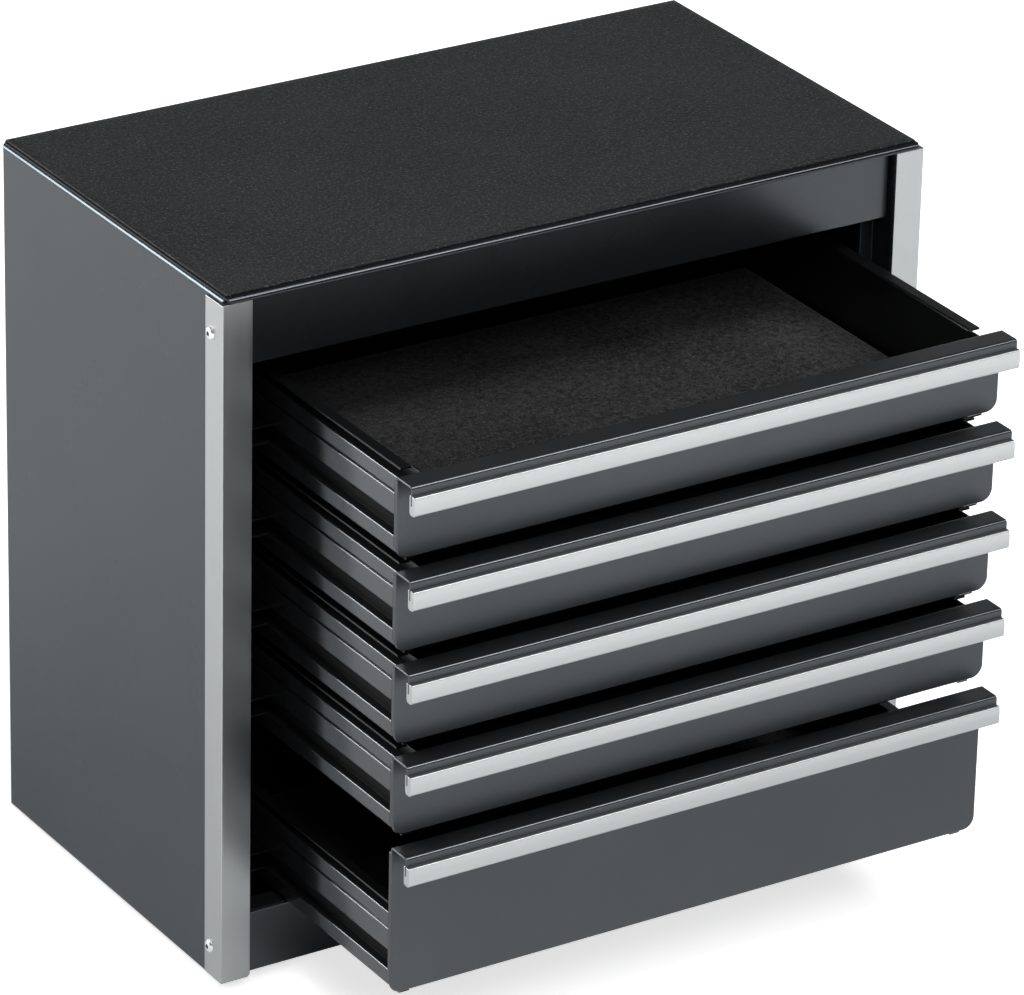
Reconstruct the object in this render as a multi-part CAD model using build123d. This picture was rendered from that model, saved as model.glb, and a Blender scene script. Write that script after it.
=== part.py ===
from build123d import *
import os

# Small steel chest with five drawers on folded rails. All sizes are in millimetres.
# X runs across the front, -Y is the front, +Z is up, and the floor is at Z = 0.
# The origin is the middle of the whole object's footprint with its drawers open.

# Sheet and play
sheet = 0.8
bend = 1.2                    # outside radius of the small bends
case_bend = 2.0               # outside radius of the bends of the case
slide_play = 0.35             # above and below a rail inside its groove
side_play = 0.6               # at a rail's tip and beside the slide panels
shut_gap = 0.4                # between a closed front and the case

# Drawers
drawer_count = 5
drawer_width = 263.0
shallow_front_height = 32.9
deep_front_height = 61.3
front_gap = 4.3               # from a front's lower edge to the next lip
front_side_gap = 4.1          # from a front's end to the slide panel
front_return = 2.0            # depth of the folded edges of a front
front_corner = 5.0            # radius of a front's lower corners
lip_depth = 10.0
lip_edge = 7.5                # height of the turned-down edge of the lip
tray_depth = 154.0
tray_corner = 1.8
tray_lift = 0.8               # of the tray's floor above the lower edge of its front
hem_drop = 0.4                # of the tray's hem below the lip
hem_setback = 6.0             # of the hem behind the front
liner_thickness = 2.0
liner_inset = 1.6

# Pull strips
pull_drop = 3.5               # of the strip below the top of the lip
pull_height = 7.6
pull_front = 2.3              # in front of the lip's edge
pull_crown = 0.4
pull_rear = 0.8               # thickness of the strip behind the lip's edge

# Runners on the trays
runner_inset = 5.3            # of a runner behind the front's end
runner_depth = 4.4
runner_drop = 4.8             # of the runner's top below the lip
runner_strip = 6.0
runner_step = 0.9
groove_height = 8.2
runner_foot = 6.1
runner_hang = 1.8             # of the runner's underside below the front's lower edge
stop_length = 3.0
stop_play = 0.4

# Drawer travel
held_length = 44.0            # of a tray left in the case when its drawer meets the stops
spare_travel = 25.4           # from a drawer at rest to its stops

# Case
recess_depth = 12.1           # of the step in a side behind the corner trim
recess_width = 5.9            # of the step, from the corner trim to the slide panel
seam_flange = 18.0            # of the flanges of a side at the back, top and bottom
rear_gap = 16.3               # behind a closed tray
fascia_height = 29.4          # from the top front rail's lower edge to the top
fascia_gap = 10.8             # from the top front rail to the first lip
fascia_setback = 2.6          # of the top front rail behind the front of the sides
fascia_return = 8.0
rail_height = 26.3            # of the bottom front rail
rail_lift = 4.1               # of the bottom front rail above the sides' lower edges
rail_gap = 3.3                # from the last front to the bottom rail
rail_return = 9.0
side_relief = 10.5            # cut from a side's lower front corner, behind the trim
base_flange = 8.0             # of the base, turned up behind the bottom front rail
top_inset = 0.5               # of the top panel inside the sides and the back
top_overhang = 1.8            # of the top panel over the front of the sides
top_bend = 1.8                # outside radius of the top panel's front bend
top_lip = 2.0                 # height of the top panel's turned-down front edge
top_corner = 2.0
mat_thickness = 1.0
mat_side_inset = 1.2
mat_front_inset = 1.0
panel_flange = 12.0           # of the back panel
slide_panel_flange = 10.0
rail_rear_gap = 4.0

# Corner trims, rivets and feet
trim_leg = 12.5
trim_thickness = 1.5
trim_lift = 2.7               # of the trims above the sides' lower edges
trim_top_drop = 2.2           # of the trims below the top panel
trim_chamfer = 1.0
rivet_setback = 8.6           # from the front of a trim
rivet_low_end = 12.5          # from the lower end of a trim
rivet_high_end = 13.7         # from the upper end of a trim
rivet_head_radius = 2.7
rivet_head_height = 1.3
rivet_shank_radius = 1.6
rivet_hole_play = 0.1
foot_height = 3.0
foot_radius = 7.0
foot_inset = 10.3             # from the sides
foot_setback = 20.0           # from the front and the back

# Sizes that follow
half_front = drawer_width / 2
half_opening = half_front + front_side_gap
half_recess = half_opening + recess_width
half_case = half_recess + trim_leg - trim_thickness
half_runner = half_front - runner_inset
half_tray = half_runner - runner_depth
tray_shift = deep_front_height - shallow_front_height
drawer_pitch = shallow_front_height + front_gap
drawer_travel = tray_depth - held_length
photo_opening = drawer_travel - spare_travel    # of every drawer at rest
case_depth = tray_depth + rear_gap + 3 * sheet - shut_gap - front_return
open_reach = shut_gap + front_return + photo_opening + lip_depth + pull_front
front_plane = (open_reach - case_depth) / 2
back_plane = front_plane + case_depth
case_bottom = foot_height
opening_bottom = case_bottom + rail_lift + rail_height
opening_top = (opening_bottom + rail_gap + deep_front_height
               + (drawer_count - 1) * drawer_pitch + fascia_gap)
case_top = opening_top + fascia_height
shell_top = case_top - sheet
floor_top = case_bottom + 2 * sheet
back_inside = back_plane - 2 * sheet
closed_face = front_plane - shut_gap - front_return
runner_bottom = shallow_front_height + runner_hang
groove_bottom = runner_bottom - runner_foot
groove_top = groove_bottom - groove_height
tray_bottom = shallow_front_height - tray_lift
tray_rear = sheet + tray_depth


def block(x_low, x_high, y_low, y_high, z_low, z_high):
    """A block between two corners."""
    middle = ((x_low + x_high) / 2, (y_low + y_high) / 2, (z_low + z_high) / 2)
    return Pos(*middle) * Box(x_high - x_low, y_high - y_low, z_high - z_low)


def along_x(face, low, high):
    """Run a Y-Z outline along X."""
    return extrude(Plane.YZ.offset(low) * face, high - low)


def along_y(face, low, high):
    """Run an X-Z outline along Y."""
    start = Plane(origin=(0, low, 0), x_dir=(1, 0, 0), z_dir=(0, -1, 0))
    return extrude(start * face, low - high)


def along_z(face, low, high):
    """Run an X-Y outline along Z."""
    return extrude(Plane.XY.offset(low) * face, high - low)


def folded(points, outside_radius=bend):
    """Outline of a folded sheet whose middle follows the points."""
    return trace(FilletPolyline(*points, radius=outside_radius - sheet / 2), line_width=sheet)


def closed_outline(points):
    return make_face(Polyline(*points, close=True))


def rounded_plate(x_half, y_low, y_high, radius):
    plate = Pos(0, (y_low + y_high) / 2) * RectangleRounded(2 * x_half, y_high - y_low, radius)
    return plate


def drawer_lip_height(number):
    """Height of the lip of drawer 1 to 5, counted from the top."""
    return opening_top - fascia_gap - (number - 1) * drawer_pitch


def drawer_front_height(number):
    return deep_front_height if number == drawer_count else shallow_front_height


def tray_level(number):
    """Height from which the tray and runners of a drawer are measured down."""
    shift = tray_shift if number == drawer_count else 0.0
    return drawer_lip_height(number) - shift


# Drawers: the front's face is at Y = 0 and the lip's top at Z = 0.


def drawer_front(height):
    """Folded front: face with rounded lower corners, edge returns, lip and turned-down edge."""
    middle = sheet / 2
    lip_front = middle - lip_depth
    lip_line = [
        (middle, -2 * lip_edge),
        (middle, -middle),
        (lip_front, -middle),
        (lip_front, -lip_edge),
    ]
    lip = along_x(folded(lip_line), -half_front, half_front)

    face = Pos(0, -height / 2) * Rectangle(drawer_width, height)
    face = fillet(face.vertices().group_by(Axis.Y)[0], front_corner)
    plate = along_y(face, 0, sheet)
    plate -= block(-half_front, half_front, -1, sheet + 1, -2 * bend, 1)

    ends = Part()
    for end in (-1, 1):
        outer = end * half_front
        inner = outer - end * sheet
        ends += block(min(outer, inner), max(outer, inner), 0, front_return, front_corner - height, -2 * bend)
    foot_half = half_front - front_corner
    foot = block(-foot_half, foot_half, 0, front_return, -height, sheet - height)

    front = plate + ends + foot
    rim = front.edges().filter_by(lambda edge: abs(edge.center().Y) < 1e-6)
    rim = rim.filter_by(lambda edge: edge.center().Z < -2 * bend - 1e-3)
    front = chamfer(rim, 0.6 * sheet)
    return front + lip


def drawer_pull():
    """Aluminium strip with a crowned face, hooked over the lip's turned-down edge."""
    edge_front = -lip_depth
    edge_back = edge_front + sheet
    face = edge_front - pull_front
    back = edge_back + pull_rear
    top = -pull_drop
    bottom = top - pull_height
    round_end = 1.2
    outline = Line((back, top), (edge_back, top))
    outline += Line((edge_back, top), (edge_back, -lip_edge))
    outline += Line((edge_back, -lip_edge), (edge_front, -lip_edge))
    outline += Line((edge_front, -lip_edge), (edge_front, top))
    outline += Line((edge_front, top), (face + pull_crown, top))
    outline += ThreePointArc(
        (face + pull_crown, top),
        (face, (top + bottom) / 2),
        (face + pull_crown, bottom),
    )
    outline += Line((face + pull_crown, bottom), (back, bottom))
    outline += Line((back, bottom), (back, top))
    profile = make_face(outline)
    profile = fillet(profile.vertices().filter_by_position(Axis.Y, bottom - 0.01, bottom + 0.01), round_end)
    shoulder = profile.vertices().filter_by_position(Axis.Y, top - 0.01, top + 0.01).sort_by(Axis.X)[0]
    profile = fillet(shoulder, 0.5)
    return along_x(profile, -half_front, half_front)


def drawer_tray():
    """Folded pan with a hem turned outward on both sides."""
    top = -hem_drop
    outside = block(-half_tray, half_tray, sheet, tray_rear, -tray_bottom, top)
    lower = outside.edges().filter_by_position(Axis.Z, -tray_bottom - 0.01, -tray_bottom + 0.01)
    outside = fillet(lower, tray_corner)
    inside_half = half_tray - sheet
    inside = block(-inside_half, inside_half, 2 * sheet, tray_rear - sheet, sheet - tray_bottom, top + 5)
    lower = inside.edges().group_by(Axis.Z)[0]
    inside = fillet(lower, tray_corner - sheet)
    tray = outside - inside
    tray -= block(-inside_half, inside_half, sheet - 1, 2 * sheet + tray_corner, top - 2 * sheet, top + 1)

    hem_line = [
        (half_tray - sheet / 2, top - 4 * bend),
        (half_tray - sheet / 2, top - sheet / 2),
        (half_runner, top - sheet / 2),
    ]
    hem_start = sheet + hem_setback
    hem_end = tray_rear - tray_corner
    hem = along_y(folded(hem_line), hem_start, hem_end)
    for side in (hem, mirror(hem, about=Plane.YZ)):
        box = side.bounding_box()
        tray -= block(box.min.X - 1, box.max.X + 1, hem_start, hem_end, top - 3 * bend, top + 1)
        tray += side
    return tray


def drawer_liner():
    half = half_tray - sheet - liner_inset
    floor = sheet - tray_bottom
    front = 2 * sheet + liner_inset
    back = tray_rear - sheet - liner_inset
    return block(-half, half, front, back, floor, floor + liner_thickness)


def right_runner():
    """Closed folded channel with a groove for the rail and a stop at its rear end."""
    low = half_tray
    high = half_runner
    step = high - sheet
    top = -runner_drop
    step_top = top - runner_strip
    step_bottom = step_top - runner_step
    web = low + sheet
    bottom = -runner_bottom
    outline = closed_outline([
        (low, top),
        (high, top),
        (high, step_top),
        (step, step_top),
        (step, step_bottom),
        (high, step_bottom),
        (high, -groove_top),
        (web, -groove_top),
        (web, -groove_bottom),
        (high, -groove_bottom),
        (high, bottom),
        (low, bottom),
    ])
    hollow_top = top - sheet
    hollow_bottom = sheet - groove_top
    upper_hollow = closed_outline([
        (web, hollow_top),
        (high - sheet, hollow_top),
        (high - sheet, step_top + sheet),
        (step - sheet, step_top + sheet),
        (step - sheet, step_bottom - sheet),
        (high - sheet, step_bottom - sheet),
        (high - sheet, hollow_bottom),
        (web, hollow_bottom),
    ])
    lower_hollow = closed_outline([
        (web, -groove_bottom - sheet),
        (high - sheet, -groove_bottom - sheet),
        (high - sheet, bottom + sheet),
        (web, bottom + sheet),
    ])
    profile = outline - upper_hollow - lower_hollow
    start = front_return + shut_gap
    runner = along_y(profile, start, tray_rear)
    stop_top = -hem_drop - sheet - stop_play
    runner += block(web, high - 0.2, tray_rear - stop_length, tray_rear, top - sheet / 2, stop_top)
    return runner


# Case


def rounded_edges(pan):
    """Edges of the pan's outer face and its upper front edge."""
    upper_front = pan.edges().filter_by(Axis.X).group_by(Axis.Z)[-1].sort_by(Axis.Y)[0]
    return pan.faces().sort_by(Axis.X)[0].edges() + [upper_front]


def left_side_panel():
    """Pan with narrow flanges, stepped inward behind the corner trim."""
    outer = -half_case
    inner = outer + seam_flange
    outside = block(outer, inner, front_plane, back_plane, case_bottom, shell_top)
    outside = fillet(rounded_edges(outside), case_bend)
    inside = block(
        outer + sheet, inner + 5,
        front_plane + sheet, back_plane - sheet,
        case_bottom + sheet, shell_top - sheet,
    )
    inside = chamfer(rounded_edges(inside), 0.6 * (case_bend - sheet))
    panel = outside - inside
    panel -= block(
        -half_recess - 2 * bend, inner + 1,
        front_plane - 1, front_plane + case_bend,
        case_bottom - 1, shell_top + 1,
    )

    flange = front_plane + sheet / 2
    wall = -half_recess - sheet / 2
    step = flange + recess_depth
    line = [
        (-half_recess - 3 * bend, flange),
        (wall, flange),
        (wall, step),
        (-half_opening, step),
    ]
    panel += along_z(folded(line), case_bottom + rail_lift, shell_top - case_bend)
    panel -= block(
        outer - 1, inner + 1,
        front_plane - 1, front_plane + side_relief,
        case_bottom - 1, case_bottom + rail_lift,
    )
    for height in rivet_heights():
        hole = Cylinder(rivet_shank_radius + rivet_hole_play, 6 * sheet)
        panel -= Pos(outer, rivet_depth(), height) * Rot(0, 90, 0) * hole
    return panel


def top_panel():
    """Top sheet with its front edge turned down over the ends of the corner trims."""
    half_top = half_case - top_inset
    front_edge = front_plane - top_overhang
    back_edge = back_plane - top_inset
    middle = case_top - sheet / 2
    line = [
        (front_edge + sheet / 2, case_top - top_lip),
        (front_edge + sheet / 2, middle),
        (back_edge, middle),
    ]
    panel = along_x(folded(line, top_bend), -half_top, half_top)
    outline = rounded_plate(half_top, front_edge, back_edge, top_corner)
    return panel & along_z(outline, case_top - top_lip - 1, case_top + 1)


def top_front_rail():
    """Fascia between the steps of the sides, with end tabs and a flange under the top."""
    front = front_plane + fascia_setback
    back = front + fascia_return
    end = half_recess - sheet / 2
    middle = front + sheet / 2
    high = shell_top - sheet
    line = [(-end, back), (-end, middle), (end, middle), (end, back)]
    rail = along_z(folded(line), opening_top, high)
    half_flange = half_recess - bend
    return rail + block(-half_flange, half_flange, middle, back, high - sheet, high)


def top_mat():
    plate = rounded_plate(
        half_case - mat_side_inset,
        front_plane + mat_front_inset,
        back_plane - mat_side_inset,
        1.5,
    )
    return along_z(plate, case_top, case_top + mat_thickness)


def back_panel():
    """Back sheet inside the rear flanges of the sides, flanged forward at top and bottom."""
    half_back = half_case - sheet - case_bend
    half_flange = half_case - seam_flange - side_play
    middle = back_inside + sheet / 2
    low = floor_top + sheet / 2
    high = shell_top - sheet / 2
    line = [
        (middle - panel_flange, low),
        (middle, low),
        (middle, high),
        (middle - panel_flange, high),
    ]
    panel = along_x(folded(line), -half_back, half_back)
    clear = back_inside - panel_flange - 2
    for side in (-1, 1):
        upper = sorted((side * half_flange, side * (half_back + 1)))
        panel -= block(*upper, clear, back_plane, shell_top - sheet - bend, shell_top + 1)
        lower = sorted((side * (half_opening - side_play), side * (half_back + 1)))
        panel -= block(*lower, clear, back_inside, floor_top - 1, floor_top + sheet + bend)
    return panel


def base_panel():
    """Floor sheet on the lower flanges of the sides, turned up behind the bottom front rail."""
    half_base = half_case - sheet - case_bend
    half_flange = half_opening - side_play
    middle = floor_top - sheet / 2
    front = front_plane + rail_return + 1.5 * sheet
    line = [
        (back_plane - sheet - bend, middle),
        (front, middle),
        (front, middle + base_flange),
    ]
    panel = along_x(folded(line), -half_base, half_base)
    for side in (-1, 1):
        panel -= block(
            *sorted((side * half_flange, side * (half_base + 1))),
            front - sheet, front + bend + 1,
            floor_top - bend, floor_top + base_flange + 1,
        )
    return panel


def bottom_front_rail():
    """Rail across the front, flanged back at all its edges."""
    middle = front_plane - sheet / 2
    low = case_bottom + rail_lift
    line = [
        (front_plane + rail_return, low + sheet / 2),
        (middle, low + sheet / 2),
        (middle, opening_bottom - sheet / 2),
        (front_plane + rail_return, opening_bottom - sheet / 2),
    ]
    rail = along_x(folded(line), -half_recess, half_recess)
    for side in (-1, 1):
        tab = sorted((side * half_recess, side * (half_recess - sheet)))
        rail += block(*tab, middle, front_plane + rail_return, low + bend, opening_bottom - bend)
    return rail


def right_slide_panel():
    """Upright sheet behind the step of a side, with a pressed stop for every drawer."""
    middle = half_opening + sheet / 2
    front = front_plane + recess_depth + 1.5 * sheet
    back = back_inside - sheet / 2
    line = [
        (half_opening + slide_panel_flange, front),
        (middle, front),
        (middle, back),
        (half_opening + slide_panel_flange, back),
    ]
    panel = along_z(folded(line), floor_top, shell_top - sheet - bend)
    stop_reach = half_runner - 0.4 * runner_depth
    ear_front = closed_face - drawer_travel + tray_rear - stop_length
    for number in range(1, drawer_count + 1):
        low = tray_level(number) - runner_drop + stop_play
        high = tray_level(number) - hem_drop - sheet - stop_play
        stop = block(
            stop_reach, half_opening + sheet / 2,
            ear_front - stop_play - stop_length, ear_front - stop_play,
            low, high,
        )
        slope = stop.edges().filter_by(Axis.Z).group_by(Axis.X)[0].sort_by(Axis.Y)[0]
        panel += chamfer(slope, 0.35 * stop_length)
    return panel


def right_rail(number):
    """Folded channel on the slide panel, one for each drawer side."""
    tip = half_tray + sheet + side_play
    web = half_opening - sheet / 2
    centre = tray_level(number) - (groove_top + groove_bottom) / 2
    half_height = groove_height / 2 - slide_play - sheet / 2
    line = [
        (tip, centre + half_height),
        (web, centre + half_height),
        (web, centre - half_height),
        (tip, centre - half_height),
    ]
    start = front_plane + recess_depth + sheet
    channel = trace(Polyline(*line), line_width=sheet)
    return along_y(channel, start, back_inside - rail_rear_gap)


def trim_span():
    return case_bottom + trim_lift, case_top - trim_top_drop


def rivet_heights():
    low, high = trim_span()
    return low + rivet_low_end, high - rivet_high_end


def rivet_depth():
    return front_plane - trim_thickness + rivet_setback


def left_corner_trim():
    """Aluminium angle over the front corner."""
    outer = -half_case - trim_thickness
    front = front_plane - trim_thickness
    low, high = trim_span()
    angle = closed_outline([
        (outer, front),
        (outer + trim_leg, front),
        (outer + trim_leg, front_plane),
        (-half_case, front_plane),
        (-half_case, front + trim_leg),
        (outer, front + trim_leg),
    ])
    angle = fillet(angle.vertices().sort_by_distance((outer, front, 0))[0], 0.4)
    trim = along_z(angle, low, high)
    for height in rivet_heights():
        hole = Cylinder(rivet_shank_radius + rivet_hole_play, 4 * trim_thickness)
        trim -= Pos(outer, rivet_depth(), height) * Rot(0, 90, 0) * hole
    foot_edges = trim.edges().group_by(Axis.Z)[0]
    front_corner_edge = foot_edges.filter_by(Axis.Y).sort_by(Axis.X)[-1]
    trim = chamfer(front_corner_edge, trim_chamfer)
    foot_edges = trim.edges().group_by(Axis.Z)[0]
    side_corner_edge = foot_edges.filter_by(Axis.X).sort_by(Axis.Y)[-1]
    return chamfer(side_corner_edge, trim_chamfer)


def left_rivet(height):
    """Blind rivet, turned from a half profile, with a domed head and an open mandrel hole."""
    grip = trim_thickness + sheet
    hole = 0.55 * rivet_shank_radius
    bulb = 1.45 * rivet_shank_radius
    bulb_end = -grip - 1.25 * rivet_shank_radius
    profile = closed_outline([
        (hole, 0.4 * rivet_head_height),
        (hole, rivet_head_height),
        (0.8 * rivet_head_radius, 0.7 * rivet_head_height),
        (rivet_head_radius, 0),
        (rivet_shank_radius, 0),
        (rivet_shank_radius, -grip),
        (bulb, -grip),
        (0, bulb_end),
        (0, 0.4 * rivet_head_height),
    ])
    rivet = revolve(Plane.XZ * profile, Axis.Z)
    return Pos(-half_case - trim_thickness, rivet_depth(), height) * Rot(0, -90, 0) * rivet


def rubber_foot():
    return Pos(0, 0, foot_height / 2) * Cone(0.85 * foot_radius, foot_radius, foot_height)


def both_sides(shape):
    return shape, mirror(shape, about=Plane.YZ)


def save(shape, node):
    export_step(shape, f"parts/{node}.step")


def save_group(shapes, node):
    solids = [solid for shape in shapes for solid in shape.solids()]
    save(Compound(children=solids), node)


os.makedirs("parts", exist_ok=True)

left, right = both_sides(left_side_panel())
save(left, "left_side_panel")
save(right, "right_side_panel")
right, left = both_sides(right_slide_panel())
save(left, "left_slide_panel")
save(right, "right_slide_panel")
left, right = both_sides(left_corner_trim())
save(left, "left_corner_trim")
save(right, "right_corner_trim")
save(top_panel(), "top_panel")
save(top_front_rail(), "top_front_rail")
save(top_mat(), "top_mat")
save(back_panel(), "back_panel")
save(base_panel(), "base_panel")
save(bottom_front_rail(), "bottom_front_rail")

rivets = []
for level in rivet_heights():
    rivets += both_sides(left_rivet(level))
save_group(rivets, "trim_rivets")

feet = []
for foot_x in (foot_inset - half_case, half_case - foot_inset):
    for foot_y in (front_plane + foot_setback, back_plane - foot_setback):
        feet.append(Pos(foot_x, foot_y, 0) * rubber_foot())
save_group(feet, "rubber_feet")

tray = drawer_tray()
liner = drawer_liner()
runner_right, runner_left = both_sides(right_runner())
pull = drawer_pull()
face_y = closed_face - photo_opening
for number in range(1, drawer_count + 1):
    right, left = both_sides(right_rail(number))
    save(left, f"left_rail_{number}")
    save(right, f"right_rail_{number}")
    at_lip = Pos(0, face_y, drawer_lip_height(number))
    at_tray = Pos(0, face_y, tray_level(number))
    save(at_lip * drawer_front(drawer_front_height(number)), f"drawer_{number}_front")
    save(at_lip * pull, f"drawer_{number}_pull")
    save(at_tray * tray, f"drawer_{number}_tray")
    save(at_tray * liner, f"drawer_{number}_liner")
    save(at_tray * runner_left, f"drawer_{number}_left_runner")
    save(at_tray * runner_right, f"drawer_{number}_right_runner")
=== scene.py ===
import math

import bmesh
import bpy
from bpy.props import FloatProperty, FloatVectorProperty, PointerProperty
from bpy.types import Operator, Panel, PropertyGroup
from mathutils import Matrix, Vector, noise


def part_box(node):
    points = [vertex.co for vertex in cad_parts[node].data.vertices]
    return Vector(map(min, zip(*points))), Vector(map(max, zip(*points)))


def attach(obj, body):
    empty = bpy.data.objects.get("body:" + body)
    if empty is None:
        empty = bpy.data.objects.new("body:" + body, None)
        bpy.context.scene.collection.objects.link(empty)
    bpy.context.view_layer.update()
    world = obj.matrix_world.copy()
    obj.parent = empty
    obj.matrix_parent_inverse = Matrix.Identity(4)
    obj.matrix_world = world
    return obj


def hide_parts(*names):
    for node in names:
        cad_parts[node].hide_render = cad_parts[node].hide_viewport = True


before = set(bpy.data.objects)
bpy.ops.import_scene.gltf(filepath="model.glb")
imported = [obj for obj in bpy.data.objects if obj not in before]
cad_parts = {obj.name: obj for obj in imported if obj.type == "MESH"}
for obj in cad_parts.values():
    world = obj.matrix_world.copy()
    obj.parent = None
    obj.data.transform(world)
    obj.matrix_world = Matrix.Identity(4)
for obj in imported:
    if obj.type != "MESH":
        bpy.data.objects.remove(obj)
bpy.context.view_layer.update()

bl_info = {
    "name": "Five-Drawer Tool Chest",
    "version": (1, 0, 0),
    "blender": (4, 5, 0),
    "location": "View3D > Sidebar > Tool Chest",
    "description": "Finishes and stages a small steel tool chest with five drawers",
    "category": "Object",
}

IMAGE_WIDTH = 1024
IMAGE_HEIGHT = 995
SENSOR_WIDTH = 36.0

# Pieces that share a finish
DRAWERS = (1, 2, 3, 4, 5)
OUTER_SHEETS = ("left_side_panel", "right_side_panel", "back_panel")
FRONT_RAILS = ("top_front_rail", "bottom_front_rail")
INNER_SHEETS = ("base_panel", "left_slide_panel", "right_slide_panel")
TRIMS = ("left_corner_trim", "right_corner_trim")

# Tint of the paint's reflections, painted light and shade: a painted cool cast of reflected
# light, bluer on the case's sides, and dimmer on the front rails as painted shade
GLOSS_TINT = (0.84, 0.92, 1.0, 1.0)
RAIL_SHADED_TINT = (0.66, 0.72, 0.79, 1.0)
SIDE_TINT = (0.66, 0.86, 1.0, 1.0)

# Refraction of the paint, which sets how strongly it reflects
GLOSS_DENSITY = 1.8
CASE_DENSITY = 1.56
TRAY_DENSITY = 1.4
INNER_DENSITY = 1.3

# Share of a front's height over which its lower part rolls inward
CROWN_SHARE = 0.4

# Runner's groove, where shade is painted by tinting the paint's reflections black: the depth
# where it starts and the width of the change, in metres, and its paint
GROOVE_DEPTH = 0.0005
GROOVE_BLEND = 0.0003
GROOVE_ROUGHNESS = 0.7

# Brightness of the aluminium pieces, as a share of the bare metal's colour: painted light and
# shade, the trims darker and the rivets and pulls lighter for how light falls on each
TRIM_BRIGHTNESS = 0.9
RIVET_BRIGHTNESS = 1.7
PULL_BRIGHTNESS = 1.06

# How much longer than wide the drawn lines are
LINE_STRETCH = 160.0

# Open middle of a rivet, in metres, and the dark colour that paints its shade
HOLE_RADIUS = 0.001
HOLE_SHADE_COLOUR = (0.03, 0.03, 0.03)

# Where a soft plate's second row of points lies, as a share of its edge's radius
EDGE_STEP = 0.3

# Unevenness of the soft plates: pitch in waves a metre, and the share of the long waves in it
WAVE_PITCH = 28.0
FINE_PITCH = 110.0
WAVE_SHARE = 0.75

# Pitch of the unevenness by height, which gives each plate a pattern of its own
WAVE_RISE = 90.0
FINE_RISE = 170.0

# Rings of points over which the unevenness grows from a plate's edge
CALM_RINGS = 6.0

# Unevenness of the mat, in metres
MAT_LIFT = 0.00006

# Floor, in metres: its first ring of points, its flat part, the bend and the wall
FIRST_RING = 0.4
FLOOR_RADIUS = 3.0
FLOOR_BEND = 0.5
WALL_HEIGHT = 1.0
BEND_STEPS = 12
ROUND_STEPS = 96

# Distances over which the floor's lift grows, where it is seen and in reflections
EYE_FADE = (0.5, 2.6)
GLOSS_FADE = (0.3, 1.7)

# Lamps, in metres
LAMPS = (
    # name, place, aim, size, property with its power
    ("overhead_lamp", (0.1, -0.75, 2.3), (0.0, -0.1, 0.0), (2.0, 1.4), "over_power"),
    ("key_lamp", (1.07, -0.94, 1.87), (0.0, 0.0, 0.2), (0.7, 0.5), "key_power"),
    ("front_lamp", (-0.55, -1.45, 1.4), (0.0, -0.05, 0.2), (0.8, 0.6), "front_power"),
    ("fill_lamp", (-1.6, 1.1, 1.6), (-0.4, 0.2, 0.0), (1.0, 1.0), "fill_power"),
    ("rim_lamp", (-1.4, 1.7, 0.95), (0.0, 0.0, 0.2), (0.7, 0.9), "rim_power"),
)


# Sizes and colours a user would change


class PaintLook(PropertyGroup):
    """Gloss black paint on the folded steel."""

    colour: FloatVectorProperty(
        name="Colour", description="Paint colour", subtype="COLOR", size=3,
        min=0.0, max=1.0, default=(0.0060, 0.0063, 0.0068))
    gloss_low: FloatProperty(
        name="Smoothest", description="Roughness of the cleanest paint", subtype="FACTOR",
        min=0.0, max=1.0, default=0.25)
    gloss_high: FloatProperty(
        name="Dullest", description="Roughness of the hazy paint", subtype="FACTOR",
        min=0.0, max=1.0, default=0.30)
    peel_size: FloatProperty(
        name="Peel Size", description="Width of the paint's fine waves", unit="LENGTH",
        min=0.0002, default=0.0016)
    peel_depth: FloatProperty(
        name="Peel Depth", description="Depth of the paint's fine waves", unit="LENGTH",
        min=0.0, default=0.0000022)
    edge: FloatProperty(
        name="Edge", description="Rounding of the sheet's painted edges", unit="LENGTH",
        min=0.0, default=0.00045)
    crown: FloatProperty(
        name="Crown", description="How far the fronts roll inward at their lower edge",
        unit="LENGTH", min=0.0, default=0.0013)


class MetalLook(PropertyGroup):
    """Satin aluminium of the trims, pull strips and rivets."""

    colour: FloatVectorProperty(
        name="Colour", description="Colour of the bare metal", subtype="COLOR", size=3,
        min=0.0, max=1.0, default=(0.455, 0.472, 0.478))
    gloss_low: FloatProperty(
        name="Smoothest", description="Roughness along the finest drawn lines", subtype="FACTOR",
        min=0.0, max=1.0, default=0.30)
    gloss_high: FloatProperty(
        name="Dullest", description="Roughness along the coarsest drawn lines", subtype="FACTOR",
        min=0.0, max=1.0, default=0.37)
    line_size: FloatProperty(
        name="Line Size", description="Width of the drawn lines", unit="LENGTH",
        min=0.00005, default=0.00035)
    line_depth: FloatProperty(
        name="Line Depth", description="Depth of the drawn lines", unit="LENGTH",
        min=0.0, default=0.0000004)
    edge: FloatProperty(
        name="Edge", description="Rounding of the metal's edges", unit="LENGTH",
        min=0.0, default=0.0003)


class MatLook(PropertyGroup):
    """Grained mat on the top."""

    colour: FloatVectorProperty(
        name="Colour", description="Mat colour", subtype="COLOR", size=3,
        min=0.0, max=1.0, default=(0.0114, 0.0124, 0.0131))
    grain_size: FloatProperty(
        name="Grain Size", description="Width of one grain", unit="LENGTH",
        min=0.0002, default=0.0012)
    grain_depth: FloatProperty(
        name="Grain Depth", description="Depth of the grain", unit="LENGTH",
        min=0.0, default=0.00016)
    edge: FloatProperty(
        name="Edge", description="Radius of the mat's upper edge", unit="LENGTH",
        min=0.0001, default=0.0004)
    cell: FloatProperty(
        name="Cell", description="Spacing of the mat's mesh", unit="LENGTH",
        min=0.001, default=0.003)


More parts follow.
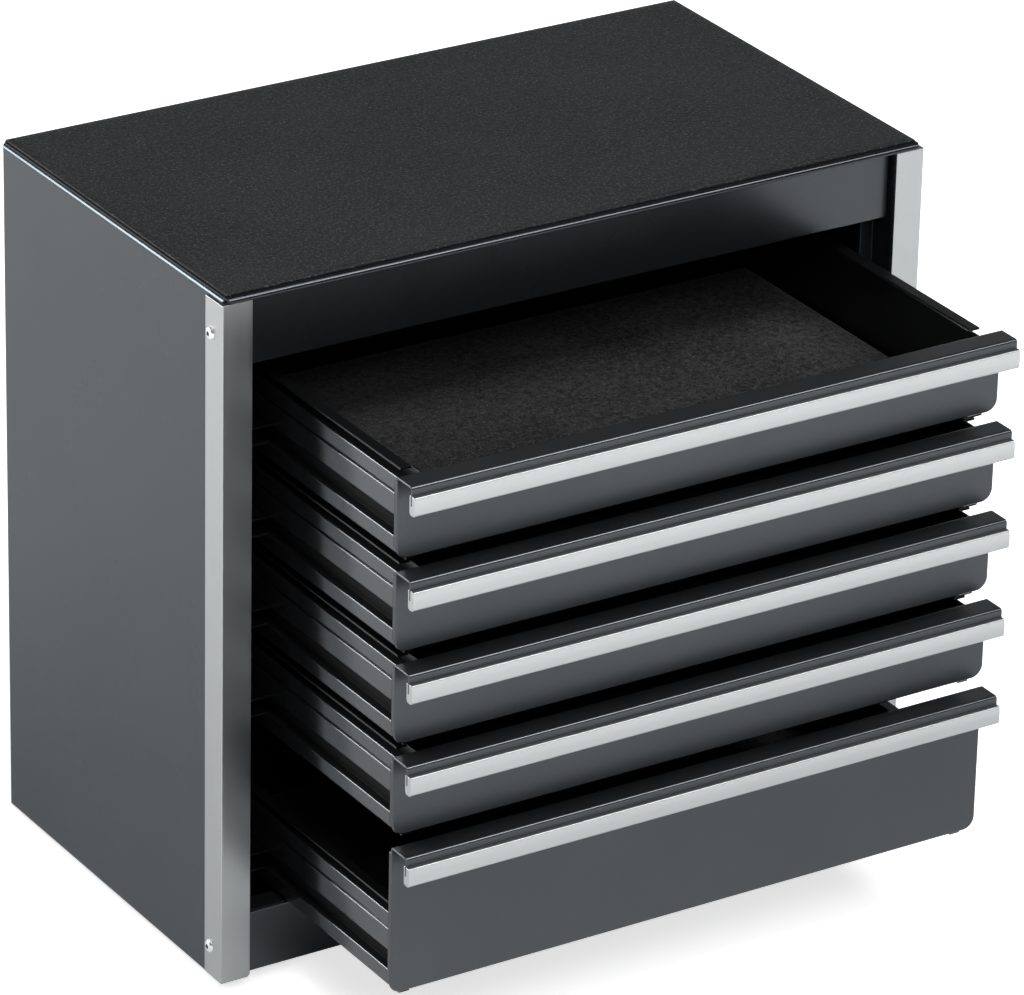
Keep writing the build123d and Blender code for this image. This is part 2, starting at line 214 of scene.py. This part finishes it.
class LinerLook(PropertyGroup):
    """Soft felt liners on the drawer floors."""

    colour: FloatVectorProperty(
        name="Colour", description="Felt colour", subtype="COLOR", size=3,
        min=0.0, max=1.0, default=(0.0118, 0.0118, 0.0117))
    fibre_size: FloatProperty(
        name="Fibre Size", description="Width of a tuft of fibres", unit="LENGTH",
        min=0.0001, default=0.0009)
    fibre_depth: FloatProperty(
        name="Fibre Depth", description="Depth of the tufts", unit="LENGTH",
        min=0.0, default=0.00022)
    wave: FloatProperty(
        name="Wave", description="How far the felt lifts off its floor", unit="LENGTH",
        min=0.0, default=0.00025)
    edge: FloatProperty(
        name="Edge", description="Radius of the felt's upper edge", unit="LENGTH",
        min=0.0001, default=0.0008)
    cell: FloatProperty(
        name="Cell", description="Spacing of the felt's mesh", unit="LENGTH",
        min=0.001, default=0.003)


class StageLook(PropertyGroup):
    """Camera, pale floor and studio light."""

    camera_place: FloatVectorProperty(
        name="Camera", description="Where the camera stands", subtype="TRANSLATION",
        unit="LENGTH", size=3, default=(-1.26825, -1.98464, 1.27253))
    camera_turn: FloatProperty(
        name="Turn", description="Camera's turn from straight ahead", subtype="ANGLE",
        default=math.radians(32.64))
    camera_drop: FloatProperty(
        name="Drop", description="Camera's downward tilt", subtype="ANGLE",
        default=math.radians(25.33))
    camera_roll: FloatProperty(
        name="Roll", description="Camera's roll", subtype="ANGLE",
        default=math.radians(1.37))
    lens_pixels: FloatProperty(
        name="Lens", description="Focal length in pixels of the picture",
        min=100.0, default=6807.35)
    axis_across: FloatProperty(
        name="Axis Across", description="Lens axis from the picture's left, in pixels",
        default=530.14)
    axis_down: FloatProperty(
        name="Axis Down", description="Lens axis from the picture's top, in pixels",
        default=497.75)
    floor_colour: FloatVectorProperty(
        name="Floor", description="Floor colour", subtype="COLOR", size=3,
        min=0.0, max=1.0, default=(0.86, 0.86, 0.86))
    floor_lift: FloatProperty(
        name="Floor Lift",
        description="How far the floor by the chest is lifted to white where it is seen",
        min=0.0, max=1.0, default=0.72)
    gloss_lift: FloatProperty(
        name="Gloss Lift",
        description="How far the floor by the chest is lifted to white in reflections",
        min=0.0, max=1.0, default=0.06)
    backdrop_lift: FloatProperty(
        name="Backdrop Lift", description="How far the distant floor is lifted to white",
        min=0.0, max=1.0, default=1.0)
    world_colour: FloatVectorProperty(
        name="Room", description="Light of the room", subtype="COLOR", size=3,
        min=0.0, max=1.0, default=(0.045, 0.045, 0.045))
    over_power: FloatProperty(
        name="Overhead", description="Power of the overhead lamp", unit="POWER",
        min=0.0, default=40.0)
    key_power: FloatProperty(
        name="Key", description="Power of the lamp at the right front", unit="POWER",
        min=0.0, default=10.0)
    front_power: FloatProperty(
        name="Front", description="Power of the lamp that reaches into the open drawers",
        unit="POWER", min=0.0, default=15.0)
    fill_power: FloatProperty(
        name="Fill", description="Power of the lamp at the left", unit="POWER",
        min=0.0, default=22.0)
    rim_power: FloatProperty(
        name="Rim", description="Power of the lamp behind the chest", unit="POWER",
        min=0.0, default=30.0)


class ChestLooks(PropertyGroup):
    """All looks of the chest."""

    paint: PointerProperty(type=PaintLook)
    metal: PointerProperty(type=MetalLook)
    mat: PointerProperty(type=MatLook)
    liner: PointerProperty(type=LinerLook)
    stage: PointerProperty(type=StageLook)


def looks():
    return bpy.context.scene.chest_looks


# Shader helpers


class Finish:
    """One material with a Principled shader and the object's own coordinates."""

    def __init__(self, name):
        """Start with a bare shader and the coordinates."""
        self.material = bpy.data.materials.new(name)
        self.material.use_nodes = True
        self.tree = self.material.node_tree
        self.tree.nodes.clear()
        output = self.tree.nodes.new("ShaderNodeOutputMaterial")
        self.shader = self.tree.nodes.new("ShaderNodeBsdfPrincipled")
        self.link(self.shader.outputs["BSDF"], output.inputs["Surface"])
        coordinates = self.tree.nodes.new("ShaderNodeTexCoord")
        self.place = coordinates.outputs["Object"]
        self.share = coordinates.outputs["Generated"]

    def link(self, source, target):
        self.tree.links.new(source, target)

    def put(self, socket, value):
        """Set a value that is the same all over, or link one that varies."""
        if isinstance(value, bpy.types.NodeSocket):
            self.link(value, socket)
        else:
            socket.default_value = value

    def set(self, **values):
        for name, value in values.items():
            self.put(self.shader.inputs[name.replace("_", " ")], value)

    def stretched(self, scale):
        node = self.tree.nodes.new("ShaderNodeMapping")
        self.link(self.place, node.inputs["Vector"])
        node.inputs["Scale"].default_value = scale
        return node.outputs["Vector"]

    def noise(self, scale, detail=2.0, place=None):
        node = self.tree.nodes.new("ShaderNodeTexNoise")
        self.link(place or self.place, node.inputs["Vector"])
        node.inputs["Scale"].default_value = scale
        node.inputs["Detail"].default_value = detail
        return node.outputs["Fac"]

    def cells(self, scale):
        """Smooth rounded cells."""
        node = self.tree.nodes.new("ShaderNodeTexVoronoi")
        node.feature = "SMOOTH_F1"
        self.link(self.place, node.inputs["Vector"])
        node.inputs["Scale"].default_value = scale
        return node.outputs["Distance"]

    def spread(self, value, low, high, start=0.3, end=0.7):
        """Stretch a value that runs from start to end, so that it runs from low to high."""
        node = self.tree.nodes.new("ShaderNodeMapRange")
        self.link(value, node.inputs["Value"])
        node.inputs["From Min"].default_value = start
        node.inputs["From Max"].default_value = end
        node.inputs["To Min"].default_value = low
        node.inputs["To Max"].default_value = high
        return node.outputs["Result"]

    def tint(self, value, dark, light):
        """Colour between dark and light, each a plain colour or another node's output."""
        node = self.tree.nodes.new("ShaderNodeMix")
        node.data_type = "RGBA"
        self.link(value, node.inputs["Factor"])
        for name, colour in (("A", dark), ("B", light)):
            if isinstance(colour, bpy.types.NodeSocket):
                self.link(colour, node.inputs[name])
            else:
                node.inputs[name].default_value = (*colour, 1.0)
        return node.outputs["Result"]

    def away(self, centre):
        """Distance from a left-to-right axis through the centre."""
        node = self.tree.nodes.new("ShaderNodeVectorMath")
        node.operation = "DISTANCE"
        self.link(self.stretched((0.0, 1.0, 1.0)), node.inputs[0])
        node.inputs[1].default_value = (0.0, centre[1], centre[2])
        return node.outputs["Value"]

    def math(self, operation, first, second=None):
        node = self.tree.nodes.new("ShaderNodeMath")
        node.operation = operation
        self.link(first, node.inputs[0])
        if second is not None:
            self.link(second, node.inputs[1])
        return node.outputs["Value"]

    def sum(self, first, second, share):
        """First plus a share of second."""
        node = self.tree.nodes.new("ShaderNodeMath")
        node.operation = "MULTIPLY_ADD"
        self.link(second, node.inputs[0])
        node.inputs[1].default_value = share
        self.link(first, node.inputs[2])
        return node.outputs["Value"]

    def rounded(self, radius):
        """Surface direction with every edge rounded to the given radius."""
        node = self.tree.nodes.new("ShaderNodeBevel")
        node.samples = 8
        node.inputs["Radius"].default_value = radius
        return node.outputs["Normal"]

    def parts(self, vector, absolute=False):
        """The three parts of a vector, with their signs dropped if asked."""
        if absolute:
            size = self.tree.nodes.new("ShaderNodeVectorMath")
            size.operation = "ABSOLUTE"
            self.link(vector, size.inputs[0])
            vector = size.outputs["Vector"]
        node = self.tree.nodes.new("ShaderNodeSeparateXYZ")
        self.link(vector, node.inputs["Vector"])
        return node.outputs

    def squareness(self, normal):
        """One where the surface faces along an axis, less on bends and rounded edges."""
        parts = self.parts(normal, absolute=True)
        return self.math("MAXIMUM", self.math("MAXIMUM", parts["X"], parts["Y"]), parts["Z"])

    def bump(self, height, depth, normal=None):
        """Fine relief on the surface or on the given surface direction."""
        node = self.tree.nodes.new("ShaderNodeBump")
        node.inputs["Strength"].default_value = 1.0
        node.inputs["Distance"].default_value = depth
        self.link(height, node.inputs["Height"])
        if normal:
            self.link(normal, node.inputs["Normal"])
        self.link(node.outputs["Normal"], self.shader.inputs["Normal"])
        return node.outputs["Normal"]


def shade(colour, factor):
    return tuple(min(1.0, part * factor) for part in colour)


def paint_finish(
        name, look, flat=1.0, bends=0.7, edge=1.0, density=GLOSS_DENSITY, depth=1.0,
        gloss=GLOSS_TINT, crown=0.0, groove=0.0, ends=0.0):
    """Gloss paint with a faint peel and hazy patches, smoother over bends and edges.

    Flat and bends are shares of the paint's roughness on flat faces and on bends. Edge is a
    share of its rounding, and depth a share of its colour; a depth below one paints shade as a
    darker copy of the paint. A crown rolls the lower part of an upright sheet inward. A groove is
    the distance from the middle of the chest below which the paint is rougher and its reflections
    are tinted black, which paints shade into the groove. Ends is the roughness of edges that turn
    left or right.
    """
    finish = Finish(name)
    haze = finish.noise(scale=16.0, detail=3.0)
    speck = finish.noise(scale=240.0, detail=2.0)
    # A depth below one paints shade as a darker copy of the paint
    colour = shade(look.colour, depth)
    normal = finish.rounded(look.edge * edge)
    square = finish.squareness(normal)
    rough = finish.math(
        "MULTIPLY", finish.spread(haze, look.gloss_low, look.gloss_high),
        finish.spread(square, low=bends, high=flat, start=0.9, end=0.995))
    if ends:
        sideways = finish.parts(normal, absolute=True)["X"]
        turned = finish.spread(sideways, low=0.0, high=ends, start=0.05, end=0.3)
        rough = finish.math("MAXIMUM", rough, turned)
    if groove:
        outward = finish.parts(finish.place, absolute=True)["X"]
        inner = groove - GROOVE_BLEND
        dull = finish.spread(outward, low=GROOVE_ROUGHNESS, high=0.0, start=inner, end=groove)
        rough = finish.math("MAXIMUM", rough, dull)
        # Painted shade: below the groove's depth the paint's reflections are tinted black
        outside_painted_shade = finish.spread(outward, low=0.0, high=1.0, start=inner, end=groove)
        gloss = finish.tint(outside_painted_shade, (0.0, 0.0, 0.0), gloss[:3])
    finish.set(
        Base_Color=finish.tint(speck, shade(colour, 0.85), shade(colour, 1.15)),
        Roughness=rough,
        IOR=density,
        Specular_Tint=gloss,
    )
    if crown:
        height = finish.parts(finish.share)["Z"]
        rise = finish.spread(height, low=-1.0, high=0.0, start=0.0, end=CROWN_SHARE)
        roll = finish.math("MULTIPLY", rise, finish.math("ABSOLUTE", rise))
        normal = finish.bump(roll, crown, normal)
    peel = finish.noise(scale=1.0 / look.peel_size, detail=1.0)
    finish.bump(peel, look.peel_depth, normal)
    return finish.material


def metal_finish(name, look, along, brightness=1.0, holes=()):
    """Satin aluminium with lines drawn along one axis, and painted shade in holes at the given
    centres.
    """
    finish = Finish(name)
    fine = 1.0 / look.line_size
    scale = [fine, fine, fine]
    scale["XYZ".index(along)] = fine / LINE_STRETCH
    lines = finish.noise(scale=1.0, detail=3.0, place=finish.stretched(scale))
    blotch = finish.noise(scale=45.0, detail=2.0)
    colour = shade(look.colour, brightness)
    uneven = finish.sum(lines, blotch, share=0.15)
    tone = finish.tint(uneven, shade(colour, 0.96), shade(colour, 1.03))
    # Painted shade: each rivet's open middle is painted dark
    for centre in holes:
        outside = finish.spread(
            finish.away(centre), low=0.0, high=1.0, start=0.8 * HOLE_RADIUS, end=HOLE_RADIUS)
        tone = finish.tint(outside, HOLE_SHADE_COLOUR, tone)
    finish.set(
        Base_Color=tone,
        Metallic=1.0,
        Roughness=finish.spread(lines, look.gloss_low, look.gloss_high),
    )
    finish.bump(lines, look.line_depth, finish.rounded(look.edge))
    return finish.material


def mat_finish(name, look):
    """Fine leather-like grain with small pale flecks, darker where its creases sink, which is
    painted shade.
    """
    finish = Finish(name)
    grain = finish.cells(1.0 / look.grain_size)
    crease = finish.noise(scale=0.75 / look.grain_size, detail=3.0)
    fleck = finish.noise(scale=1.3 / look.grain_size, detail=1.0)
    height = finish.sum(grain, crease, share=0.6)
    worn = finish.noise(scale=22.0, detail=3.0)
    patches = finish.sum(crease, worn, share=0.35)
    # Darker where the creases sink the surface: painted shade, mixed with random patches
    crease_shade_and_mottle = finish.spread(patches, low=0.0, high=1.0, start=0.48, end=0.87)
    ground = finish.tint(crease_shade_and_mottle, shade(look.colour, 0.38), shade(look.colour, 1.42))
    pale = finish.spread(fleck, low=0.0, high=1.0, start=0.58, end=0.74)
    finish.set(
        Base_Color=finish.tint(pale, ground, shade(look.colour, 6.0)),
        Roughness=finish.spread(worn, low=0.55, high=0.66),
        IOR=1.45,
        Specular_IOR_Level=0.25,
    )
    finish.bump(height, look.grain_depth)
    return finish.material


def felt_finish(name, look):
    """Short fuzzy fibres with pale lint, darker between the tufts as painted shade, and painted
    lighter toward the back right to lift the shade that falls there.
    """
    finish = Finish(name)
    tuft = finish.noise(scale=1.0 / look.fibre_size, detail=4.0)
    speck = finish.noise(scale=0.42 / look.fibre_size, detail=2.0)
    lint = finish.noise(scale=1.15 / look.fibre_size, detail=1.0)
    cloud = finish.noise(scale=20.0, detail=3.0)
    fuzz = finish.sum(finish.sum(tuft, speck, share=0.8), cloud, share=0.5)
    # Painted light: the felt is made lighter toward the back right, where shade falls
    parts = finish.parts(finish.share)
    rearward = finish.math("ADD", parts["X"], parts["Y"])
    painted_light_share = finish.spread(rearward, low=0.0, high=1.0, start=0.2, end=1.7)
    pale = finish.tint(painted_light_share, shade(look.colour, 1.3), shade(look.colour, 3.7))
    # Painted shade: the felt between the raised tufts is made much darker
    raised = finish.spread(fuzz, low=0.0, high=1.0, start=0.95, end=1.5)
    ground = finish.tint(raised, shade(look.colour, 0.1), pale)
    loose = finish.spread(lint, low=0.0, high=1.0, start=0.63, end=0.78)
    finish.set(
        Base_Color=finish.tint(loose, ground, shade(look.colour, 6.0)),
        Roughness=finish.spread(cloud, low=0.9, high=1.0),
        Specular_IOR_Level=0.2,
        Sheen_Weight=0.06,
        Sheen_Roughness=0.5,
    )
    finish.bump(finish.sum(tuft, speck, share=0.8), look.fibre_depth)
    return finish.material


def rubber_finish(name):
    """Dusty moulded rubber."""
    finish = Finish(name)
    dust = finish.noise(scale=160.0, detail=3.0)
    finish.set(
        Base_Color=finish.tint(dust, (0.012, 0.012, 0.012), (0.024, 0.024, 0.023)),
        Roughness=finish.spread(dust, low=0.65, high=0.85),
    )
    finish.bump(finish.noise(scale=900.0, detail=2.0), depth=0.00003)
    return finish.material


def coat_nodes(material, *names):
    """Give a finish to CAD nodes."""
    for name in names:
        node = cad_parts[name]
        if not node.material_slots:
            node.data.materials.append(material)
        for slot in node.material_slots:
            slot.material = material


# Mesh helpers


def spaced(low, high, edge, cell):
    """Places across a soft plate, closer together at its rounded edges."""
    middle = max(2, round((high - low - 2 * edge) / cell))
    inner = [low + edge + (high - low - 2 * edge) * i / middle for i in range(middle + 1)]
    return [low, low + EDGE_STEP * edge] + inner + [high - EDGE_STEP * edge, high]


def soft_plate(name, low, high, edge, cell, lift):
    """Closed plate with rounded upper edges and a gently uneven top."""
    across = spaced(low[0], high[0], edge, cell)
    along = spaced(low[1], high[1], edge, cell)
    drop = {0: edge, 1: EDGE_STEP * edge}
    mesh = bmesh.new()
    rows = []
    for j, y in enumerate(along):
        row = []
        for i, x in enumerate(across):
            ring_x = min(i, len(across) - 1 - i)
            ring_y = min(j, len(along) - 1 - j)
            fall = max(drop.get(ring_x, 0.0), drop.get(ring_y, 0.0))
            inside = min(1.0, min(ring_x, ring_y) / CALM_RINGS)
            wave = noise.noise(Vector((x * WAVE_PITCH, y * WAVE_PITCH, low[2] * WAVE_RISE)))
            fine = noise.noise(Vector((x * FINE_PITCH, y * FINE_PITCH, low[2] * FINE_RISE)))
            uneven = WAVE_SHARE * wave + (1.0 - WAVE_SHARE) * fine
            sunk = lift * inside * (0.5 - 0.5 * uneven)
            row.append(mesh.verts.new((x, y, high[2] - fall - sunk)))
        rows.append(row)
    for lower, upper in zip(rows, rows[1:]):
        for i in range(len(lower) - 1):
            mesh.faces.new((lower[i], lower[i + 1], upper[i + 1], upper[i]))
    right = [row[-1] for row in rows[1:-1]]
    left = [row[0] for row in rows[-2:0:-1]]
    rim = rows[0] + right + rows[-1][::-1] + left
    foot = [mesh.verts.new((v.co.x, v.co.y, low[2])) for v in rim]
    for i in range(len(rim)):
        k = (i + 1) % len(rim)
        mesh.faces.new((rim[k], rim[i], foot[i], foot[k]))
    mesh.faces.new(foot[::-1])
    bmesh.ops.recalc_face_normals(mesh, faces=mesh.faces)
    data = bpy.data.meshes.new(name)
    mesh.to_mesh(data)
    mesh.free()
    for face in data.polygons:
        face.use_smooth = len(face.vertices) == 4
    piece = bpy.data.objects.new(name, data)
    bpy.context.scene.collection.objects.link(piece)
    return piece


# Operators, one for each piece or group of like pieces


class CHEST_OT_case_paint(Operator):
    """Paint the case's sheets, slide panels and rails"""

    bl_idname = "chest.case_paint"
    bl_label = "Paint Case"

    def execute(self, context):
        look = looks().paint
        outside = paint_finish("case_gloss_black", look, density=CASE_DENSITY, gloss=SIDE_TINT)
        coat_nodes(outside, *OUTER_SHEETS)
        # The front rails' reflections are dimmed as painted shade
        coat_nodes(paint_finish("rail_gloss_black", look, gloss=RAIL_SHADED_TINT), *FRONT_RAILS)
        top = paint_finish("top_gloss_black", look, bends=0.6, density=CASE_DENSITY, ends=0.7)
        coat_nodes(top, "top_panel")
        # Painted shade: the inner sheets and rails take a darker copy of the paint
        inside = paint_finish(
            "case_inner_black", look, flat=1.5, bends=1.5, edge=0.1, density=INNER_DENSITY,
            depth=0.3)
        rails = [f"{side}_rail_{number}" for side in ("left", "right") for number in DRAWERS]
        coat_nodes(inside, *INNER_SHEETS, *rails)
        return {"FINISHED"}


class CHEST_OT_drawer_paint(Operator):
    """Paint the fronts, trays and runners"""

    bl_idname = "chest.drawer_paint"
    bl_label = "Paint Drawers"

    def execute(self, context):
        look = looks().paint
        fronts = paint_finish(
            "drawer_gloss_black", look, flat=1.5, bends=0.6, crown=look.crown)
        # Painted shade: the trays take a darker copy of the paint
        trays = paint_finish(
            "tray_black", look, flat=1.2, bends=1.0, edge=0.4, density=TRAY_DENSITY, depth=0.4)
        # The runners get painted shade in their groove
        outer_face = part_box("drawer_1_right_runner")[1][0]
        runners = paint_finish(
            "runner_black", look, flat=0.62, bends=0.5, edge=2.0,
            groove=outer_face - GROOVE_DEPTH)
        for number in DRAWERS:
            drawer = f"drawer_{number}"
            coat_nodes(fronts, f"{drawer}_front")
            coat_nodes(trays, f"{drawer}_tray")
            coat_nodes(runners, f"{drawer}_left_runner", f"{drawer}_right_runner")
        return {"FINISHED"}


class CHEST_OT_trim_metal(Operator):
    """Finish the corner trims and their rivets"""

    bl_idname = "chest.trim_metal"
    bl_label = "Finish Trims"

    def execute(self, context):
        look = looks().metal
        # Painted shade: the trims take a darker copy of the aluminium
        coat_nodes(metal_finish("trim_aluminium", look, "Z", TRIM_BRIGHTNESS), *TRIMS)
        low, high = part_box("trim_rivets")
        middle = (low[1] + high[1]) / 2
        reach = (high[1] - low[1]) / 2
        holes = [(0.0, middle, low[2] + reach), (0.0, middle, high[2] - reach)]
        # Painted light: the rivets take a lighter copy of the aluminium
        rivets = metal_finish("rivet_aluminium", look, "X", RIVET_BRIGHTNESS, holes)
        coat_nodes(rivets, "trim_rivets")
        return {"FINISHED"}


class CHEST_OT_pull_metal(Operator):
    """Finish the pull strips"""

    bl_idname = "chest.pull_metal"
    bl_label = "Finish Pulls"

    def execute(self, context):
        # Painted light: the pulls take a lighter copy of the aluminium
        strip = metal_finish("pull_aluminium", looks().metal, "X", PULL_BRIGHTNESS)
        coat_nodes(strip, *[f"drawer_{number}_pull" for number in DRAWERS])
        return {"FINISHED"}


class CHEST_OT_feet(Operator):
    """Finish the rubber feet"""

    bl_idname = "chest.feet"
    bl_label = "Finish Feet"

    def execute(self, context):
        coat_nodes(rubber_finish("foot_rubber"), "rubber_feet")
        return {"FINISHED"}


class CHEST_OT_top_mat(Operator):
    """Lay the grained mat on the top"""

    bl_idname = "chest.top_mat"
    bl_label = "Lay Top Mat"

    def execute(self, context):
        look = looks().mat
        low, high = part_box("top_mat")
        mat = soft_plate("grained_top_mat", low, high, look.edge, look.cell, MAT_LIFT)
        mat.data.materials.append(mat_finish("top_mat_grain", look))
        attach(mat, "case")
        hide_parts("top_mat")
        return {"FINISHED"}


class CHEST_OT_liners(Operator):
    """Lay the felt liners in the drawers"""

    bl_idname = "chest.liners"
    bl_label = "Lay Liners"

    def execute(self, context):
        look = looks().liner
        felt = felt_finish("liner_felt", look)
        for number in DRAWERS:
            node = f"drawer_{number}_liner"
            low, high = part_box(node)
            liner = soft_plate(f"felt_liner_{number}", low, high, look.edge, look.cell, look.wave)
            liner.data.materials.append(felt)
            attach(liner, f"drawer_{number}")
            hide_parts(node)
        return {"FINISHED"}


def lamp(name, place, aim, size, power):
    """Soft rectangular lamp turned toward its aim."""
    data = bpy.data.lights.new(name, "AREA")
    data.shape = "RECTANGLE"
    data.size, data.size_y = size
    data.energy = power
    lamp_object = bpy.data.objects.new(name, data)
    lamp_object.location = place
    direction = Vector(aim) - Vector(place)
    lamp_object.rotation_euler = direction.to_track_quat("-Z", "Y").to_euler()
    bpy.context.scene.collection.objects.link(lamp_object)
    return lamp_object


def sweep_mesh(name, flat_radius, bend_radius, wall_height):
    """Round floor that turns up into a low wall all round."""
    profile = [(FIRST_RING, 0.0), (flat_radius, 0.0)]
    for i in range(1, BEND_STEPS + 1):
        angle = math.pi / 2 * i / BEND_STEPS
        radius = flat_radius + bend_radius * math.sin(angle)
        profile.append((radius, bend_radius * (1 - math.cos(angle))))
    profile.append((flat_radius + bend_radius, wall_height))
    mesh = bmesh.new()
    centre = mesh.verts.new((0.0, 0.0, 0.0))
    rings = []
    for radius, height in profile:
        ring = []
        for i in range(ROUND_STEPS):
            angle = 2 * math.pi * i / ROUND_STEPS
            place = (radius * math.cos(angle), radius * math.sin(angle), height)
            ring.append(mesh.verts.new(place))
        rings.append(ring)
    for i in range(ROUND_STEPS):
        k = (i + 1) % ROUND_STEPS
        mesh.faces.new((centre, rings[0][i], rings[0][k]))
        for inner, outer in zip(rings, rings[1:]):
            mesh.faces.new((inner[i], outer[i], outer[k], inner[k]))
    data = bpy.data.meshes.new(name)
    mesh.to_mesh(data)
    mesh.free()
    for face in data.polygons:
        face.use_smooth = True
    sweep = bpy.data.objects.new(name, data)
    bpy.context.scene.collection.objects.link(sweep)
    return sweep


def floor_finish(name, look):
    """Pale floor, lifted toward white where it is seen or mirrored, that keeps its shadow."""
    finish = Finish(name)
    path = finish.tree.nodes.new("ShaderNodeLightPath")
    away = finish.tree.nodes.new("ShaderNodeVectorMath")
    away.operation = "LENGTH"
    finish.link(finish.place, away.inputs[0])
    distance = away.outputs["Value"]
    eye = finish.spread(distance, look.floor_lift, look.backdrop_lift, *EYE_FADE)
    gloss = finish.spread(distance, look.gloss_lift, look.backdrop_lift, *GLOSS_FADE)
    mirrored = finish.math(
        "MAXIMUM", path.outputs["Is Glossy Ray"], path.outputs["Is Transmission Ray"])
    seen = finish.math("MULTIPLY", path.outputs["Is Camera Ray"], eye)
    lift = finish.math("ADD", seen, finish.math("MULTIPLY", mirrored, gloss))
    grit = finish.noise(scale=9.0, detail=3.0)
    finish.set(
        Base_Color=finish.tint(grit, shade(look.floor_colour, 0.985), look.floor_colour),
        Roughness=0.9,
        Specular_IOR_Level=0.0,
        Emission_Color=(1.0, 1.0, 1.0, 1.0),
        Emission_Strength=lift,
    )
    return finish.material


class CHEST_OT_stage(Operator):
    """Set the camera, the pale floor and the studio light"""

    bl_idname = "chest.stage"
    bl_label = "Set Stage"

    def execute(self, context):
        look = looks().stage
        scene = context.scene
        scene.view_settings.view_transform = "Standard"
        self.set_camera(scene, look)
        floor = sweep_mesh("studio_floor", FLOOR_RADIUS, FLOOR_BEND, WALL_HEIGHT)
        floor.data.materials.append(floor_finish("studio_floor", look))
        self.set_world(scene, look)
        lamps = {
            name: lamp(name, place, aim, size, getattr(look, power))
            for name, place, aim, size, power in LAMPS
        }
        lamps["front_lamp"].visible_glossy = False
        lamps["rim_lamp"].visible_diffuse = False
        return {"FINISHED"}

    def set_camera(self, scene, look):
        turn, drop, roll = look.camera_turn, look.camera_drop, look.camera_roll
        ahead = Vector((
            math.sin(turn) * math.cos(drop),
            math.cos(turn) * math.cos(drop),
            -math.sin(drop),
        ))
        level = ahead.cross(Vector((0.0, 0.0, 1.0))).normalized()
        upright = level.cross(ahead)
        right = level * math.cos(roll) + upright * math.sin(roll)
        up = upright * math.cos(roll) - level * math.sin(roll)
        data = bpy.data.cameras.new("studio_camera")
        data.sensor_width = SENSOR_WIDTH
        data.lens = data.sensor_width * look.lens_pixels / IMAGE_WIDTH
        data.shift_x = (IMAGE_WIDTH / 2 - look.axis_across) / IMAGE_WIDTH
        data.shift_y = (look.axis_down - IMAGE_HEIGHT / 2) / IMAGE_WIDTH
        data.clip_end = 50.0
        camera = bpy.data.objects.new("studio_camera", data)
        turned = Matrix((right, up, -ahead)).transposed().to_4x4()
        camera.matrix_world = Matrix.Translation(Vector(look.camera_place)) @ turned
        scene.collection.objects.link(camera)
        scene.camera = camera

    def set_world(self, scene, look):
        world = bpy.data.worlds.new("studio_room")
        world.use_nodes = True
        background = world.node_tree.nodes["Background"]
        background.inputs["Color"].default_value = (*look.world_colour, 1.0)
        background.inputs["Strength"].default_value = 1.0
        scene.world = world


class CHEST_PT_looks(Panel):
    """Looks of the tool chest"""

    bl_idname = "CHEST_PT_looks"
    bl_label = "Tool Chest"
    bl_space_type = "VIEW_3D"
    bl_region_type = "UI"
    bl_category = "Tool Chest"

    def draw(self, context):
        chest = context.scene.chest_looks
        for title, group in (
            ("Paint", chest.paint),
            ("Aluminium", chest.metal),
            ("Top Mat", chest.mat),
            ("Liners", chest.liner),
            ("Stage", chest.stage),
        ):
            box = self.layout.box()
            box.label(text=title)
            for name in group.__annotations__:
                box.prop(group, name)
        for operator in OPERATORS:
            self.layout.operator(operator.bl_idname)


GROUPS = (PaintLook, MetalLook, MatLook, LinerLook, StageLook, ChestLooks)
OPERATORS = (
    CHEST_OT_case_paint,
    CHEST_OT_drawer_paint,
    CHEST_OT_trim_metal,
    CHEST_OT_pull_metal,
    CHEST_OT_feet,
    CHEST_OT_top_mat,
    CHEST_OT_liners,
    CHEST_OT_stage,
)
CLASSES = GROUPS + OPERATORS + (CHEST_PT_looks,)


def register():
    for cls in CLASSES:
        bpy.utils.register_class(cls)
    bpy.types.Scene.chest_looks = PointerProperty(type=ChestLooks)


def unregister():
    del bpy.types.Scene.chest_looks
    for cls in reversed(CLASSES):
        bpy.utils.unregister_class(cls)


def main():
    register()
    bpy.ops.chest.case_paint()
    bpy.ops.chest.drawer_paint()
    bpy.ops.chest.trim_metal()
    bpy.ops.chest.pull_metal()
    bpy.ops.chest.feet()
    bpy.ops.chest.top_mat()
    bpy.ops.chest.liners()
    bpy.ops.chest.stage()


if __name__ == "__main__":
    main()
